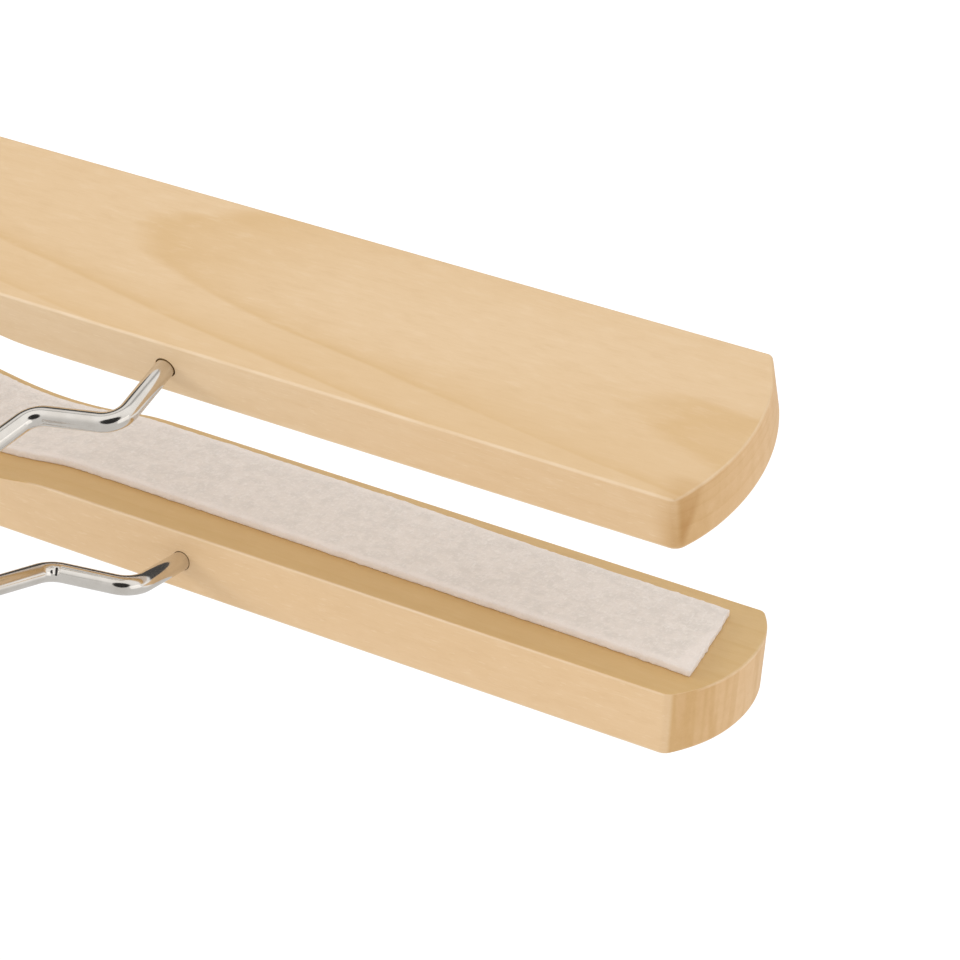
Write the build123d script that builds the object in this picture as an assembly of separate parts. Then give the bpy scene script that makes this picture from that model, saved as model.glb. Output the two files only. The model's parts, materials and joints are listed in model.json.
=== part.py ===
from build123d import *
from math import acos, asin, cos, degrees, radians, sin, sqrt, tan
import os

# A trouser hanger, in millimetres. Two wooden jaws lined with felt hang on two bent wire frames.
# The frames hinge in a sheet steel yoke under a swivel hook, and a lock ring slides down their
# legs to close the jaws. The rest pose is the open clamp, with the lock ring up.
# +Z is up, X runs along the jaws and +Y points to the rear jaw. The origin is the hook's seat:
# the inside top of its bow, where it bears on a rail.

# Jaws: two equal wooden bars, held on edge
jaw_length = 300.0
jaw_width = 36.8  # from the edge that the wires enter to the mouth edge
jaw_thickness = 11.0
jaw_end_bulge = 4.7  # how far the arc of each end stands out past its corners
jaw_edge_round = 0.7
relief_length = 35.4  # a shallow hollow across the middle of the inner face
relief_depth = 1.85

# Felt strips, glued to the inner faces
felt_length = 285.0
felt_width = 23.3
felt_thickness = 1.4
felt_margin = 9.6  # bare wood beside the strip, on the wires' side, at mid-length
felt_skew = 0.6  # degrees: the strips are glued on by hand, not quite straight
closed_gap = 0.2  # left between the two strips when the clamp is shut

# Wire frames: each is one wire, bent in a plane, with its two ends in a jaw
frame_wire = 3.5  # diameter
frame_bend = 4.4  # radius of the bends, at the wire's centre
wire_spacing = 100.0  # between the two wires in a jaw
wire_grip = 25.0  # how deep each wire end sits in the wood
bore_clearance = 0.1  # glue gap round the wire
bore_chamfer = 0.3
stub_rise = 14.3  # from the jaw up to the first bend
shoulder_rise = 17.8  # from the jaw up to the second bend
shoulder_spacing = 70.2  # between the second bends
crossbar_length = 37.4  # between the corners of the hinge bar
pivot_to_jaw = 73.75  # along the frame, from the hinge axis to the jaw's edge

# Hinge: the yoke's rolled knuckles turn on the frames' hinge bars
pivot_spacing = 7.0  # between the two hinge axes
opening_angle = 10.19  # degrees that each jaw swings from open to shut
yoke_sheet = 1.2
yoke_length = 24.0
yoke_rise = 8.5  # from the hinge axes to the top of the yoke
yoke_corner = 2.2
knuckle_clearance = 0.06
knuckle_wrap = 250.0  # degrees of sheet round each hinge bar

# Lock ring: one wire, bent to a long loop round the four legs
ring_wire = 3.0
ring_drop_open = 15.0  # below the hinge axes
ring_drop_closed = 35.0
ring_slack = 0.4  # between the legs and the ring's long sides, where they are tightest
ring_grip_gap = 0.25  # between the legs and the ring's rounded ends, when shut

# Hook: one wire with a swivel shank, headed over a washer under the yoke
hook_wire = 4.0
hook_bow_radius = 21.0  # inside of the bow
hook_neck_bend = 10.0
hook_tip_dip = 10.0  # degrees that the bow runs on below its widest point, to the tip
shank_length = 14.0  # straight, from the neck to the yoke
shank_clearance = 0.06
swivel_play = 0.08  # up and down, on each side of the yoke's top
collar_radius = 3.2
collar_height = 1.6
head_radius = 3.3
head_height = 1.8
head_round = 1.1
collar_round = 0.45
washer_radius = 4.6
washer_thickness = 0.9
washer_clearance = 0.15
washer_chamfer = 0.2

# Heights of the hook's parts, worked out down from its seat
hook_radius = hook_wire / 2
bow_centreline = hook_bow_radius + hook_radius
bow_sweep = acos(hook_neck_bend / (bow_centreline + hook_neck_bend))
neck_z = -hook_bow_radius - (bow_centreline + hook_neck_bend) * sin(bow_sweep)
yoke_top_z = neck_z - shank_length
pivot_z = yoke_top_z - yoke_rise

# How far each frame leans from the vertical, shut and open
wire_radius = frame_wire / 2
pivot_y = pivot_spacing / 2
closed_wire_y = jaw_thickness / 2 + felt_thickness + closed_gap / 2
closed_lean = degrees(asin((closed_wire_y - pivot_y) / pivot_to_jaw))
open_lean = closed_lean + opening_angle
open_wire_y = pivot_y + pivot_to_jaw * sin(radians(open_lean))
open_wire_z = pivot_z - pivot_to_jaw * cos(radians(open_lean))

# The hollow in each jaw is a cylinder's arc
relief_radius = ((relief_length / 2) ** 2 + relief_depth**2) / (2 * relief_depth)
relief_axis_y = -jaw_thickness / 2 + relief_depth - relief_radius


def tube(path, diameter):
    """Round wire of the given diameter along a path."""
    start = Plane(origin=path @ 0, z_dir=path % 0)
    return sweep(start * Circle(diameter / 2), path=path)


def rear_to_front(piece):
    """The front half is the rear half turned about the upright axis."""
    return Rot(0, 0, 180) * piece


def place_jaw(piece):
    """A rear jaw piece goes from the jaw's own frame to its open place."""
    return Pos(0, open_wire_y, open_wire_z) * Rot(opening_angle, 0, 0) * piece


def relief_cylinder(radius):
    """A cylinder on the axis of the jaw's hollow, as wide as the jaw."""
    return Pos(0, relief_axis_y, -jaw_width / 2) * Cylinder(radius, 2 * jaw_width)


def jaw():
    """A wooden bar with arched ends, in its own frame: its outer face is at +Y, its edge at z = 0."""
    corner_x = jaw_length / 2 - jaw_end_bulge
    middle = -jaw_width / 2
    outline = make_face(
        [
            Line((-corner_x, 0), (corner_x, 0)),
            ThreePointArc((corner_x, 0), (jaw_length / 2, middle), (corner_x, -jaw_width)),
            Line((corner_x, -jaw_width), (-corner_x, -jaw_width)),
            ThreePointArc((-corner_x, -jaw_width), (-jaw_length / 2, middle), (-corner_x, 0)),
        ]
    )
    bar = extrude(Plane.XZ * outline, jaw_thickness / 2, both=True)
    bar = fillet(bar.edges(), jaw_edge_round)
    bar -= relief_cylinder(relief_radius)
    bore_radius = wire_radius + bore_clearance
    for x in (-wire_spacing / 2, wire_spacing / 2):
        drill = Pos(0, 0, jaw_edge_round - wire_grip / 2) * Cylinder(
            bore_radius, wire_grip + 2 * jaw_edge_round
        )
        drill += Cone(bore_radius, bore_radius + 2 * bore_chamfer, 2 * bore_chamfer)
        bar -= Pos(x, 0, 0) * Rot(closed_lean, 0, 0) * drill
    return bar


def felt():
    """A felt strip in the jaw's own frame: it lies on the inner face and dips into the hollow."""
    face_y = -jaw_thickness / 2
    strip_z = -felt_margin - felt_width / 2
    depth = felt_thickness + relief_depth
    blank = (
        Pos(0, face_y - felt_thickness + depth / 2, strip_z)
        * Rot(0, felt_skew, 0)
        * Box(felt_length, depth, felt_width)
    )
    over_face = Pos(0, face_y - felt_thickness / 2, -jaw_width / 2) * Box(
        jaw_length, felt_thickness, 2 * jaw_width
    )
    strip = blank & (over_face + relief_cylinder(relief_radius))
    return strip - relief_cylinder(relief_radius - felt_thickness)


def wire_frame():
    """A frame in its own plane: the hinge bar's axis is at z = 0 and the wire ends point down."""
    end = (wire_spacing / 2, -pivot_to_jaw - wire_grip)
    stub = (wire_spacing / 2, -pivot_to_jaw + stub_rise)
    shoulder = (shoulder_spacing / 2, -pivot_to_jaw + shoulder_rise)
    corner = (crossbar_length / 2, 0)
    right = [end, stub, shoulder, corner]
    left = [(-x, z) for x, z in reversed(right)]
    return tube(Plane.XZ * FilletPolyline(*right, *left, radius=frame_bend), frame_wire)


def rear_frame():
    """The rear wire frame, leaning back from its hinge axis in the open clamp."""
    return Pos(0, pivot_y, pivot_z) * Rot(open_lean, 0, 0) * wire_frame()


def hinge_yoke():
    """A folded sheet channel whose lower edges are rolled round the hinge bars."""
    inner = wire_radius + knuckle_clearance
    outer = inner + yoke_sheet
    wall = pivot_y + outer
    section = Pos(0, yoke_rise / 2) * Rectangle(2 * wall, yoke_rise)
    section = fillet(section.vertices().group_by(Axis.Y)[-1], yoke_corner)
    cavity = Pos(0, (yoke_rise - yoke_sheet) / 2) * Rectangle(
        2 * (wall - yoke_sheet), yoke_rise - yoke_sheet
    )
    section -= fillet(cavity.vertices().group_by(Axis.Y)[-1], yoke_corner - yoke_sheet)
    for side in (-1, 1):
        start = 0 if side > 0 else 180
        turn = -side * knuckle_wrap
        rim = CenterArc((side * pivot_y, 0), outer, start, turn)
        bore = CenterArc((side * pivot_y, 0), inner, start, turn)
        section += make_face([rim, Line(rim @ 1, bore @ 1), bore, Line(bore @ 0, rim @ 0)])
    channel = extrude(Plane.YZ * section, yoke_length / 2, both=True)
    channel = Pos(0, 0, pivot_z) * channel
    shank_hole = Cylinder(hook_radius + shank_clearance, 2 * yoke_sheet)
    return channel - Pos(0, 0, yoke_top_z - yoke_sheet / 2) * shank_hole


def leg_at_ring(share):
    """A leg's distance along X and Y where the ring crosses it, at a share of the ring's travel."""
    drop = ring_drop_open + share * (ring_drop_closed - ring_drop_open)
    lean = radians(open_lean - share * opening_angle)
    spread = (shoulder_spacing - crossbar_length) / 2 / (pivot_to_jaw - shoulder_rise)
    x = crossbar_length / 2 + spread * drop / cos(lean)
    return x, pivot_y + drop * tan(lean), wire_radius / cos(lean)


def ring_loop():
    """Half the inside depth of the ring, and where its rounded ends are centred along X.
    The long sides clear the legs all the way down, and the ends grip them when the jaws are shut."""
    steps = 20
    reaches = [leg_at_ring(step / steps) for step in range(steps + 1)]
    half_depth = max(y + radius for _, y, radius in reaches) + ring_slack
    x, y, radius = reaches[-1]
    return half_depth, x - sqrt((half_depth - radius - ring_grip_gap) ** 2 - y**2)


def lock_ring():
    """The long wire loop round the four legs, at its upper place."""
    half_depth, end_x = ring_loop()
    bend = half_depth + ring_wire / 2
    path = Wire(
        [
            Line((-end_x, -bend), (end_x, -bend)),
            CenterArc((end_x, 0), bend, -90, 180),
            Line((end_x, bend), (-end_x, bend)),
            CenterArc((-end_x, 0), bend, 90, 180),
        ]
    )
    return Pos(0, 0, pivot_z - ring_drop_open) * tube(path, ring_wire)


def hook():
    """The hook's bow and neck, a collar above the yoke and a closed head below its washer."""
    sweep_deg = degrees(bow_sweep)
    bow_z = -hook_bow_radius
    tip_angle = 180 + hook_tip_dip
    washer_top = yoke_top_z - yoke_sheet - swivel_play
    head_top = washer_top - washer_thickness
    collar_foot = yoke_top_z + swivel_play + washer_thickness
    path = Wire(
        [
            CenterArc((0, bow_z), bow_centreline, tip_angle, -tip_angle - sweep_deg),
            CenterArc((hook_neck_bend, neck_z), hook_neck_bend, 180 - sweep_deg, sweep_deg),
            Line((0, neck_z), (0, head_top)),
        ]
    )
    path = Plane.XZ * path
    collar = Cylinder(collar_radius, collar_height)
    collar = fillet(collar.edges().filter_by(GeomType.CIRCLE), collar_round)
    head = Cylinder(head_radius, head_height)
    head = fillet(head.edges().filter_by(GeomType.CIRCLE).sort_by(Axis.Z)[0], head_round)
    body = tube(path, hook_wire) + Pos(*(path @ 0)) * Sphere(hook_radius)
    body += Pos(0, 0, collar_foot + collar_height / 2) * collar
    return body + Pos(0, 0, head_top - head_height / 2) * head


def washer(top_z):
    """A flat washer round the shank, with its top face at the given height."""
    disc = Cylinder(washer_radius, washer_thickness)
    disc = chamfer(disc.edges().filter_by(GeomType.CIRCLE), washer_chamfer)
    disc -= Cylinder(hook_radius + washer_clearance, 2 * washer_thickness)
    return Pos(0, 0, top_z - washer_thickness / 2) * disc


rear_jaw = place_jaw(jaw())
rear_felt = place_jaw(felt())
rear_wire = rear_frame()
pieces = {
    "hook": hook(),
    "neck_washer": washer(yoke_top_z + swivel_play + washer_thickness),
    "retaining_washer": washer(yoke_top_z - yoke_sheet - swivel_play),
    "hinge_yoke": hinge_yoke(),
    "lock_ring": lock_ring(),
    "rear_frame": rear_wire,
    "front_frame": rear_to_front(rear_wire),
    "rear_jaw": rear_jaw,
    "front_jaw": rear_to_front(rear_jaw),
    "rear_felt": rear_felt,
    "front_felt": rear_to_front(rear_felt),
}

os.makedirs("parts", exist_ok=True)
for name, piece in pieces.items():
    export_step(piece, f"parts/{name}.step")
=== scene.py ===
"""A clamp hanger for trousers: felt-lined birch jaws on wire frames, a lock ring and a swivel hook.

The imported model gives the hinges' place and range, and the place of every node. Each sub-assembly
is modelled again here at the same sizes, with softened edges and smooth bends, and dressed with its
own finish. Lengths are in metres, except where a docstring says millimetres.
"""

from __future__ import annotations

import json
import logging
import math
from contextlib import contextmanager
from dataclasses import dataclass, field
from enum import Enum
from typing import Callable, Iterator, Sequence

import bmesh
import bpy
from mathutils import Matrix, Vector, noise


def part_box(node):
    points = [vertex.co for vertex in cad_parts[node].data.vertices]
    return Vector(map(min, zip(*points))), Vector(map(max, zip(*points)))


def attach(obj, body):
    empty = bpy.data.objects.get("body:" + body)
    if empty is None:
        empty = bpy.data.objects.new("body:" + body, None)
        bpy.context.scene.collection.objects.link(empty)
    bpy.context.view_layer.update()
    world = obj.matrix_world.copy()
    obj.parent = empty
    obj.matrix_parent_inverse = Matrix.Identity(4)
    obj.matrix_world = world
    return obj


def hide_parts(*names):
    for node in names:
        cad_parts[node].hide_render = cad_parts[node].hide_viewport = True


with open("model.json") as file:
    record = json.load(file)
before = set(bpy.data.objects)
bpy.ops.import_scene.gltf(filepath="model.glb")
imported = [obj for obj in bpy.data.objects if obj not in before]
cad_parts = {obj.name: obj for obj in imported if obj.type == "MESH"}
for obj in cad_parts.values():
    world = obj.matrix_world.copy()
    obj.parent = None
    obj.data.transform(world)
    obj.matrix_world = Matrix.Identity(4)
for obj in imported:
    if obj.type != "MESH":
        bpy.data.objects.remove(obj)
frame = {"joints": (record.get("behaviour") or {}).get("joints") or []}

log = logging.getLogger("trouser_hanger")
Colour = tuple[float, float, float, float]
Triple = tuple[float, float, float]
MM = 0.001
MERGE_DISTANCE = 0.0005 * MM
WHITE: Colour = (1.0, 1.0, 1.0, 1.0)
UPRIGHT = (math.pi / 2, 0, 0)  # turns a flat primitive up, to face along Y


class Side(Enum):
    """Which half of the clamp a piece belongs to."""

    REAR = "rear"
    FRONT = "front"

    @property
    def turn(self) -> Matrix:
        """The half turn about the upright axis that makes the front half from the rear one."""
        return Matrix.Rotation(math.pi if self is Side.FRONT else 0.0, 4, "Z")

    @property
    def body(self) -> str:
        """The body that this half of the clamp moves with."""
        return f"{self.value}_clamp"


class Element(Enum):
    """What is picked in edit mode."""

    POINTS = "VERT"
    EDGES = "EDGE"
    FACES = "FACE"


def srgb(red: float, green: float, blue: float) -> Colour:
    """The linear colour that shaders use for a display colour, whose parts are 0 to 255."""
    shares = (part / 255 for part in (red, green, blue))
    return (*(c / 12.92 if c <= 0.04045 else ((c + 0.055) / 1.055) ** 2.4 for c in shares), 1.0)


def held(share: float) -> float:
    """A number held between 0 and 1."""
    return min(1.0, max(0.0, share))


# Modelling helpers


def take_up(piece: bpy.types.Object) -> None:
    """Makes a piece the only selected object and the active one.

    Args:
        piece: The object to work on.
    """
    bpy.ops.object.select_all(action="DESELECT")
    piece.select_set(True)
    bpy.context.view_layer.objects.active = piece


def settle(piece: bpy.types.Object) -> None:
    """Puts a piece's place, turn and scale in its mesh."""
    take_up(piece)
    bpy.ops.object.transform_apply(location=True, rotation=True, scale=True)


@contextmanager
def editing(piece: bpy.types.Object) -> Iterator[None]:
    """Opens a piece in edit mode and closes it again.

    Args:
        piece: The object to edit.
    """
    take_up(piece)
    bpy.ops.object.mode_set(mode="EDIT")
    yield
    bpy.ops.object.mode_set(mode="OBJECT")


def pick(kind: Element, wanted: Callable[..., bool]) -> None:
    """Selects the points, edges or faces that pass a test in edit mode, and nothing else.

    Args:
        kind: What is tested and selected.
        wanted: The test, on a bmesh element.
    """
    bpy.ops.mesh.select_mode(type=kind.value)
    bpy.ops.mesh.select_all(action="DESELECT")
    mesh = bpy.context.edit_object.data
    shape = bmesh.from_edit_mesh(mesh)
    groups = {Element.POINTS: shape.verts, Element.EDGES: shape.edges, Element.FACES: shape.faces}
    for item in [item for item in groups[kind] if wanted(item)]:
        item.select_set(True)
    shape.select_flush_mode()
    bmesh.update_edit_mesh(mesh)


def pick_all() -> None:
    """Selects the whole mesh in edit mode."""
    bpy.ops.mesh.select_all(action="SELECT")


def merge_doubles() -> None:
    """Merges points that lie on one another, in edit mode, and leaves the whole mesh selected."""
    pick_all()
    bpy.ops.mesh.remove_doubles(threshold=MERGE_DISTANCE)
    pick_all()


def round_edges(wanted: Callable[..., bool], rim: float, segments: int) -> None:
    """Rounds the edges that pass a test, in edit mode."""
    pick(Element.EDGES, wanted)
    bpy.ops.mesh.bevel(offset=rim, segments=segments, affect="EDGES")


def middle(edge: bmesh.types.BMEdge) -> Vector:
    """The middle of an edge."""
    return (edge.verts[0].co + edge.verts[1].co) / 2


def start_piece(
    name: str, primitive: Callable[..., object], **settings: object
) -> bpy.types.Object:
    """Adds a primitive with nothing else selected, names it and puts its place in its mesh.

    Args:
        name: The piece's name.
        primitive: The operator that adds it.
        settings: The operator's settings.

    Returns:
        The object, at the origin.
    """
    bpy.ops.object.select_all(action="DESELECT")
    primitive(**settings)
    piece = bpy.context.object
    piece.name = piece.data.name = name
    settle(piece)
    return piece


def apply_modifier(piece: bpy.types.Object, kind: str, **settings: object) -> None:
    """Adds a modifier to a piece and applies it.

    Args:
        piece: The object to change.
        kind: The modifier's type.
        settings: The modifier's properties.
    """
    take_up(piece)
    modifier = piece.modifiers.new(kind.title(), kind)
    for setting, value in settings.items():
        setattr(modifier, setting, value)
    bpy.ops.object.modifier_apply(modifier=modifier.name)


def break_edges(piece: bpy.types.Object, width: float, angle: float) -> None:
    """Rounds every edge of a piece that is sharper than an angle, in degrees."""
    limit = {"limit_method": "ANGLE", "angle_limit": math.radians(angle)}
    apply_modifier(piece, "BEVEL", width=width, segments=3, **limit)


def close_up(piece: bpy.types.Object, smooth_angle: float) -> None:
    """Merges doubled points, turns all faces outwards and shades the piece smooth up to an angle.

    Args:
        piece: The finished mesh.
        smooth_angle: The largest angle, in degrees, that still looks round.
    """
    with editing(piece):
        merge_doubles()
        bpy.ops.mesh.normals_make_consistent(inside=False)
    take_up(piece)
    bpy.ops.object.shade_smooth_by_angle(angle=math.radians(smooth_angle))


def cut_away(piece: bpy.types.Object, cutter: bpy.types.Object) -> None:
    """Cuts one solid out of another and throws the cutter away."""
    apply_modifier(piece, "BOOLEAN", object=cutter, operation="DIFFERENCE", solver="EXACT")
    bpy.data.objects.remove(cutter)


def start_drawing(name: str, points: Sequence[Vector]) -> bpy.types.Object:
    """Starts a drawing from one or two points of a small plane, and stays in edit mode.

    Args:
        name: The piece's name.
        points: Where its first points are put.

    Returns:
        The piece, with those points selected.
    """
    piece = start_piece(name, bpy.ops.mesh.primitive_plane_add, size=MM)
    bpy.ops.object.mode_set(mode="EDIT")
    pick(Element.POINTS, lambda v: v.index >= len(points))
    bpy.ops.mesh.delete(type="VERT")
    shape = bmesh.from_edit_mesh(piece.data)
    for vertex, place in zip(shape.verts, points):
        vertex.co = place
    bmesh.update_edit_mesh(piece.data)
    bpy.ops.mesh.select_mode(type="VERT" if len(points) == 1 else "EDGE")
    pick_all()
    return piece


def push(by: Vector) -> None:
    """Extrudes what is selected in a straight line."""
    bpy.ops.mesh.extrude_region_move(TRANSFORM_OT_translate={"value": by})


def swing(centre: Vector, axis: Vector, degrees: float, step: float) -> None:
    """Spins what is selected round an axis, by the right-hand rule.

    Args:
        centre: A point of the axis.
        axis: Its direction.
        degrees: How far.
        step: The most that one step turns, in degrees.
    """
    steps = max(2, math.ceil(abs(degrees) / step))
    angle = -math.radians(degrees)  # with no window, the spin turns against the right-hand rule
    bpy.ops.mesh.spin(steps=steps, angle=angle, center=centre, axis=axis, use_auto_merge=False)


@dataclass
class WireBender:
    """Bends round wire: a ring of points is drawn along each run and spun round each bend."""

    name: str
    radius: float
    sides: int = 40
    step: float = 4.0
    piece: bpy.types.Object | None = field(default=None, init=False)
    at: Vector = field(default_factory=Vector, init=False)
    along: Vector = field(default_factory=Vector, init=False)

    def start(self, at: Vector, along: Vector) -> None:
        """Sets the first ring.

        Args:
            at: The centre of the wire's end.
            along: The direction in which the wire leaves it.
        """
        self.piece = start_piece(
            self.name, bpy.ops.mesh.primitive_circle_add, vertices=self.sides, radius=self.radius,
            fill_type="NOTHING", location=at, rotation=along.to_track_quat("Z", "Y").to_euler(),
        )
        self.at, self.along = at.copy(), along.normalized()
        bpy.ops.object.mode_set(mode="EDIT")
        bpy.ops.mesh.select_mode(type="EDGE")
        pick_all()

    def run(self, length: float) -> None:
        """Draws the wire straight on."""
        push(self.along * length)
        self.at += self.along * length

    def bend(self, centre: Vector, axis: Vector, degrees: float) -> None:
        """Bends the wire round an axis.

        Args:
            centre: The bend's centre.
            axis: The bend's axis, by the right-hand rule.
            degrees: How far it turns.
        """
        swing(centre, axis, degrees, self.step)
        turn = Matrix.Rotation(math.radians(degrees), 3, axis)
        self.at = centre + turn @ (self.at - centre)
        self.along = turn @ self.along

    def flare(self, radius: float) -> None:
        """Steps the wire out or in to another radius, square to its run.

        Args:
            radius: The new radius.
        """
        push(Vector())
        bpy.ops.transform.resize(value=(radius / self.radius,) * 3, center_override=self.at)
        self.radius = radius

    def follow(self, corners: Sequence[Vector], bend_radius: float) -> None:
        """Draws the wire along straight runs with a round bend at each corner.

        Args:
            corners: The corners, and the far end as the last point.
            bend_radius: The radius of the bends, at the wire's centre.
        """
        for corner, beyond in zip(corners, corners[1:]):
            onward = (beyond - corner).normalized()
            angle = self.along.angle(onward)
            axis = self.along.cross(onward).normalized()
            setback = bend_radius * math.tan(angle / 2)
            self.run((corner - self.at).length - setback)
            self.bend(self.at + axis.cross(self.along) * bend_radius, axis, math.degrees(angle))
        self.run((corners[-1] - self.at).length)

    def finish(self, rounded_ends: Sequence[Vector] = (), rim: float = 0.0) -> bpy.types.Object:
        """Closes the open ends and rounds them.

        Args:
            rounded_ends: The centre of each end that is rounded.
            rim: The radius of their rims.

        Returns:
            The closed wire.
        """
        merge_doubles()
        bpy.ops.mesh.fill_holes(sides=0)
        reach = self.radius * 1.02
        for centre in rounded_ends:
            round_edges(
                lambda e: (middle(e) - centre).length < reach
                and any(len(f.verts) > 4 for f in e.link_faces),
                rim, segments=6,
            )
        bpy.ops.object.mode_set(mode="OBJECT")
        close_up(self.piece, smooth_angle=40)
        return self.piece


# Shader helpers


def maths(operation: str, swapped: bool = False) -> Callable[..., Value]:
    """Makes a method of Value that adds one Math node.

    Args:
        operation: What the node does.
        swapped: Whether the other operand comes first.

    Returns:
        The method.
    """

    def method(self: Value, other: Operand = 0.0) -> Value:
        """Adds the node."""
        pair = (other, self) if swapped else (self, other)
        return self.tree.node("ShaderNodeMath", {"operation": operation}, dict(enumerate(pair)))

    return method


class Value:
    """One output of a node. Python's operators and its methods add the nodes that work on it."""

    def __init__(self, tree: ShaderTree, socket: bpy.types.NodeSocket) -> None:
        """Wraps a socket of a tree."""
        self.tree = tree
        self.socket = socket

    __add__ = __radd__ = maths("ADD")
    __sub__, __rsub__ = maths("SUBTRACT"), maths("SUBTRACT", swapped=True)
    __mul__ = __rmul__ = maths("MULTIPLY")
    __truediv__, __pow__, __abs__ = maths("DIVIDE"), maths("POWER"), maths("ABSOLUTE")
    root, fraction, logarithm = maths("SQRT"), maths("FRACT"), maths("LOGARITHM")
    smaller, larger, angle_from = maths("MINIMUM"), maths("MAXIMUM"), maths("ARCTAN2")

    def rise(self, low: float, high: float) -> Value:
        """A smooth step from 0 at low to 1 at high, which falls where high is the smaller.

        Args:
            low: Where it is 0.
            high: Where it is 1.

        Returns:
            The step.
        """
        falls = high < low
        start, end = (high, low) if falls else (low, high)
        sockets = {0: self, 1: start, 2: end, 3: float(falls), 4: float(not falls)}
        return self.tree.node("ShaderNodeMapRange", {"interpolation_type": "SMOOTHSTEP"}, sockets)


Operand = Value | float


class ShaderTree:
    """The nodes of one material, or of the world."""

    def __init__(self, owner: bpy.types.Material | bpy.types.World) -> None:
        """Empties a new material or world.

        Args:
            owner: The material or world.
        """
        self.owner = owner
        owner.use_nodes = True
        owner.node_tree.nodes.clear()

    @classmethod
    def material(cls, name: str) -> ShaderTree:
        """Starts a material and gives its tree."""
        return cls(bpy.data.materials.new(name))

    def node(
        self, kind: str, settings: dict[str, object], sockets: dict[int | str, object],
        out: int | str = 0,
    ) -> Value:
        """Adds one node of any type.

        Args:
            kind: The node's type.
            settings: Its properties, set first.
            sockets: The value or link of each input, by number or name.
            out: The output that is wanted.

        Returns:
            That output.
        """
        made = self.owner.node_tree.nodes.new(kind)
        for setting, value in settings.items():
            setattr(made, setting, value)
        for socket, value in sockets.items():
            if isinstance(value, Value):
                self.owner.node_tree.links.new(value.socket, made.inputs[socket])
            else:
                made.inputs[socket].default_value = value
        return Value(self, made.outputs[out] if made.outputs else None)

    def coordinates(self, place: Matrix) -> Value:
        """Coordinates in a piece's own frame, in millimetres.

        Args:
            place: The piece's own frame in the row frame.

        Returns:
            The coordinates, as a vector.
        """
        raw = self.node("ShaderNodeTexCoord", {}, {}, "Object")
        back = place.to_3x3().transposed()
        shift = -(back @ place.translation)
        sockets = {"Vector": raw, "Location": shift, "Rotation": back.to_euler()}
        local = {0: self.node("ShaderNodeMapping", {}, sockets), "Scale": 1 / MM}
        return self.node("ShaderNodeVectorMath", {"operation": "SCALE"}, local)

    def facing(self, place: Matrix) -> Value:
        """The surface's direction in the frame of a piece that stands at a place."""
        raw, back = self.node("ShaderNodeTexCoord", {}, {}, "Normal"), place.to_3x3().transposed()
        return self.node("ShaderNodeMapping", {}, {"Vector": raw, "Rotation": back.to_euler()})

    def parts(self, vector: Value) -> tuple[Value, ...]:
        """Splits a vector in its three parts."""
        split = self.node("ShaderNodeSeparateXYZ", {}, {0: vector})
        return tuple(Value(self, output) for output in split.socket.node.outputs)

    def shifted(self, vector: Value, by: Triple) -> Value:
        """Adds a fixed vector to a vector."""
        return self.node("ShaderNodeVectorMath", {}, {0: vector, 1: by})

    def noise(self, at: Value, scale: float, detail: float = 2.0, roughness: float = 0.5) -> Value:
        """Soft noise from 0 to 1, with so many lumps to a unit and so many finer layers."""
        sockets = {"Vector": at, "Scale": scale, "Detail": detail, "Roughness": roughness}
        return self.node("ShaderNodeTexNoise", {}, sockets)

    def grained(
        self, at: Value, grain: Triple, detail: float = 2.0, roughness: float = 0.5,
        scale: float = 1.0,
    ) -> Value:
        """Soft noise with its own number of lumps to a unit along each axis."""
        along = self.node("ShaderNodeVectorMath", {"operation": "MULTIPLY"}, {0: at, 1: grain})
        return self.noise(along, scale, detail, roughness)

    def mix(self, share: Operand, first: Value | Colour, second: Value | Colour) -> Value:
        """Mixes two colours, by the second one's share."""
        return self.node("ShaderNodeMix", {"data_type": "RGBA"}, {0: share, 6: first, 7: second}, 2)

    def layered(self, colour: Value | Colour, *layers: tuple[Operand, Colour]) -> Value:
        """Mixes further colours over a colour, one after the other.

        Args:
            colour: The colour underneath.
            layers: The share and the colour of each.

        Returns:
            The mixed colour.
        """
        for share, over in layers:
            colour = self.mix(share, colour, over)
        return colour

    def tint(self, share: Operand, colour: Value, by: Colour) -> Value:
        """Multiplies a colour by another, as far as a share says."""
        settings = {"data_type": "RGBA", "blend_type": "MULTIPLY"}
        return self.node("ShaderNodeMix", settings, {0: share, 6: colour, 7: by}, 2)

    def dot(self, vector: Value, direction: Vector) -> Value:
        """How far a vector reaches in a direction."""
        settings = {"operation": "DOT_PRODUCT"}
        return self.node("ShaderNodeVectorMath", settings, {0: vector, 1: direction}, "Value")

    def bump(self, height: Value, depth: float, under: Value | None = None) -> Value:
        """A bump of a depth from a height of 0 to 1, which may lie on another bump."""
        on = {} if under is None else {"Normal": under}
        return self.node("ShaderNodeBump", {}, {"Height": height, "Distance": depth, **on})

    def finish(self, sockets: dict[int | str, object]) -> bpy.types.Material:
        """Adds the surface shader and the output.

        Args:
            sockets: The shader's values and links.

        Returns:
            The material.
        """
        surface = self.node("ShaderNodeBsdfPrincipled", {}, sockets)
        self.node("ShaderNodeOutputMaterial", {}, {"Surface": surface})
        return self.owner


# Finishes


@dataclass(frozen=True)
class BarSize:
    """The size of a jaw's wooden bar, whose ends bulge in a round arc."""

    length: float = 300.0 * MM
    width: float = 36.8 * MM
    thickness: float = 11.0 * MM
    end_bulge: float = 4.7 * MM

    @property
    def end_radius(self) -> float:
        """The radius of the bulging ends."""
        return ((self.width / 2) ** 2 + self.end_bulge**2) / (2 * self.end_bulge)

    @property
    def end_centre(self) -> float:
        """How far the centre of an end's arc is from the middle of the bar."""
        return self.length / 2 - self.end_radius


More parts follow.
